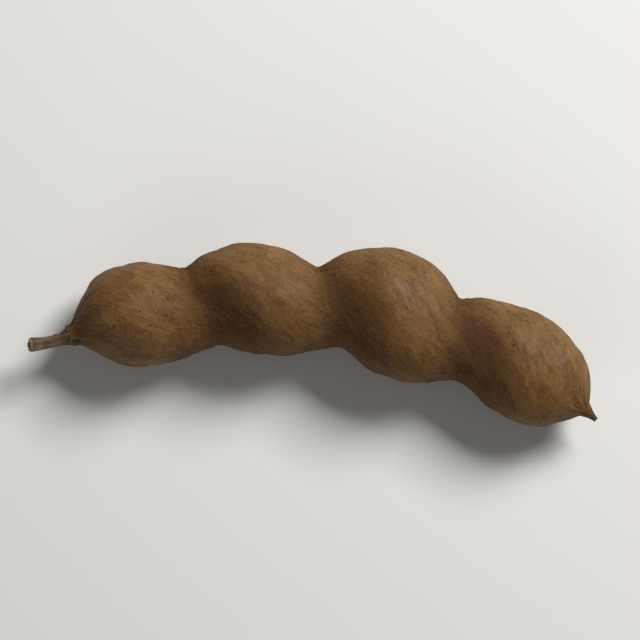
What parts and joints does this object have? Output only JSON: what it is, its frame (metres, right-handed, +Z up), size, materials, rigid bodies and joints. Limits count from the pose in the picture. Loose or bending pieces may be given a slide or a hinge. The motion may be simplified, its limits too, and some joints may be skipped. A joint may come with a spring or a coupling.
{
  "type": "tamarind pod",
  "caption": "Whole, unopened tamarind pod: a curved brown shell swollen over its seeds, with a short stalk stub and a small beak.",
  "frame": {"origin": "middle of the pod's bounding box, on the surface it lies on", "axes": "+X runs along the pod from the stalk towards the beak, +Y across it towards the outer, convex edge, +Z up, away from the surface it lies on"},
  "size_m": [0.1402, 0.0394, 0.0239],
  "materials": {
    "shell": "matte, scurfy dry pod shell",
    "stalk": "matte, woody, finely ribbed"
  },
  "bodies": {
    "root": {"pod": "shell", "stalk": "stalk"}
  },
  "joints": []
}
